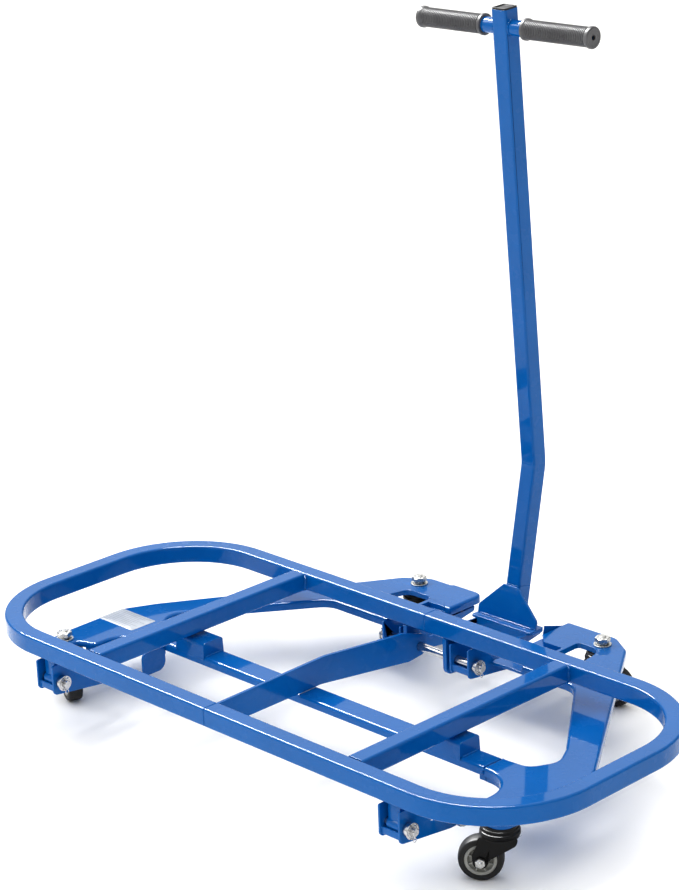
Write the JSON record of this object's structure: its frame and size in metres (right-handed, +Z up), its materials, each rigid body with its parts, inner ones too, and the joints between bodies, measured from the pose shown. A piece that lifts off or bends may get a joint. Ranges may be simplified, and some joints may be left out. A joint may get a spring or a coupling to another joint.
{
  "type": "lifting platform cart",
  "caption": "Low platform cart with a tubular hoop platform on levers, a pressed base on swivel casters and a bent T-handle that lifts the platform.",
  "frame": {"origin": "bottom centre of the bounding box, on the floor", "axes": "+X along the platform's length, +Y from the open side towards the handle, +Z up"},
  "size_m": [1.18, 0.746, 1.086],
  "materials": {
    "blue_frame": "gloss",
    "zinc_fastener": "satin",
    "bright_steel": "polished",
    "caster_steel": "gloss",
    "grip_rubber": "matte",
    "wheel_rubber": "satin",
    "hub_plastic": "satin",
    "cap_plastic": "matte",
    "label_film": "gloss"
  },
  "bodies": {
    "base": {"base_arm_left": "blue_frame", "base_arm_right": "blue_frame", "blank_label": "label_film", "caster_balls": "bright_steel", "caster_heads": "caster_steel", "caster_nuts": "zinc_fastener", "caster_studs": "zinc_fastener", "caster_washers": "zinc_fastener", "cross_channel": "blue_frame", "front_pivot_lugs": "blue_frame", "front_pivot_pins": "zinc_fastener", "hanging_plates": "blue_frame", "rear_hinge_plates": "blue_frame", "rear_pivot_shaft": "zinc_fastener", "rest_saddles": "blue_frame"},
    "handle_lever": {"foot_plate": "blue_frame", "grip_crossbar": "blue_frame", "grip_left": "grip_rubber", "grip_right": "grip_rubber", "handle_cap": "cap_plastic", "handle_gusset": "blue_frame", "handle_stub": "blue_frame", "handle_tube": "blue_frame", "rear_lever_left": "blue_frame", "rear_lever_right": "blue_frame", "rear_shaft": "bright_steel", "rear_shaft_washers": "bright_steel", "rear_split_pins": "bright_steel", "stub_spigot": "blue_frame"},
    "platform": {"centre_brace": "blue_frame", "cross_bar_left": "blue_frame", "cross_bar_right": "blue_frame", "platform_hoop_left": "blue_frame", "platform_hoop_right": "blue_frame", "platform_lugs_front": "blue_frame", "platform_lugs_rear": "blue_frame"},
    "front_lever_left": {"clevis_pin_left": "bright_steel", "clevis_split_pin_left": "bright_steel", "clevis_washers_left": "bright_steel", "front_lever_left": "blue_frame"},
    "front_lever_right": {"clevis_pin_right": "bright_steel", "clevis_split_pin_right": "bright_steel", "clevis_washers_right": "bright_steel", "front_lever_right": "blue_frame"},
    "swivel_front_left": {"axle_front_left": "zinc_fastener", "fork_front_left": "caster_steel"},
    "wheel_front_left": {"hub_front_left": "hub_plastic", "tyre_front_left": "wheel_rubber"},
    "swivel_front_right": {"axle_front_right": "zinc_fastener", "fork_front_right": "caster_steel"},
    "wheel_front_right": {"hub_front_right": "hub_plastic", "tyre_front_right": "wheel_rubber"},
    "swivel_rear_left": {"axle_rear_left": "zinc_fastener", "fork_rear_left": "caster_steel"},
    "wheel_rear_left": {"hub_rear_left": "hub_plastic", "tyre_rear_left": "wheel_rubber"},
    "swivel_rear_right": {"axle_rear_right": "zinc_fastener", "fork_rear_right": "caster_steel"},
    "wheel_rear_right": {"hub_rear_right": "hub_plastic", "tyre_rear_right": "wheel_rubber"}
  },
  "joints": [
    {"name": "handle_lift", "type": "hinge", "parent": "base", "child": "handle_lever", "pos_m": [0, 0.21, 0.069], "axis": [1, 0, 0], "range_deg": [-32, 0]},
    {"name": "platform_level", "type": "hinge", "parent": "handle_lever", "child": "platform", "pos_m": [0, 0.108, 0.089], "axis": [1, 0, 0], "range_deg": [0, 32]},
    {"name": "front_lever_left_swing", "type": "hinge", "parent": "base", "child": "front_lever_left", "pos_m": [-0.378, -0.256, 0.069], "axis": [1, 0, 0], "range_deg": [-32, 0]},
    {"name": "front_lever_right_swing", "type": "hinge", "parent": "base", "child": "front_lever_right", "pos_m": [0.378, -0.256, 0.069], "axis": [1, 0, 0], "range_deg": [-32, 0]},
    {"name": "swivel_front_left_turn", "type": "hinge", "parent": "base", "child": "swivel_front_left", "pos_m": [-0.476, -0.255, 0.07], "axis": [0, 0, 1], "continuous": true},
    {"name": "swivel_front_right_turn", "type": "hinge", "parent": "base", "child": "swivel_front_right", "pos_m": [0.476, -0.255, 0.07], "axis": [0, 0, 1], "continuous": true},
    {"name": "swivel_rear_left_turn", "type": "hinge", "parent": "base", "child": "swivel_rear_left", "pos_m": [-0.201, 0.29, 0.07], "axis": [0, 0, 1], "continuous": true},
    {"name": "swivel_rear_right_turn", "type": "hinge", "parent": "base", "child": "swivel_rear_right", "pos_m": [0.201, 0.29, 0.07], "axis": [0, 0, 1], "continuous": true},
    {"name": "wheel_front_left_roll", "type": "hinge", "parent": "swivel_front_left", "child": "wheel_front_left", "pos_m": [-0.45153, -0.26642, 0.0325], "axis": [0.4226, 0.9063, 0], "continuous": true},
    {"name": "wheel_front_right_roll", "type": "hinge", "parent": "swivel_front_right", "child": "wheel_front_right", "pos_m": [0.45472, -0.27163, 0.0325], "axis": [0.6157, -0.788, 0], "continuous": true},
    {"name": "wheel_rear_left_roll", "type": "hinge", "parent": "swivel_rear_left", "child": "wheel_rear_left", "pos_m": [-0.18959, 0.26553, 0.0325], "axis": [0.9063, 0.4226, 0], "continuous": true},
    {"name": "wheel_rear_right_roll", "type": "hinge", "parent": "swivel_rear_right", "child": "wheel_rear_right", "pos_m": [0.228, 0.29, 0.0325], "axis": [0, 1, 0], "continuous": true}
  ],
  "couplings": [
    {"joint": "platform_level", "follows": "handle_lift", "ratio": -1},
    {"joint": "front_lever_left_swing", "follows": "handle_lift", "ratio": 1},
    {"joint": "front_lever_right_swing", "follows": "handle_lift", "ratio": 1}
  ]
}
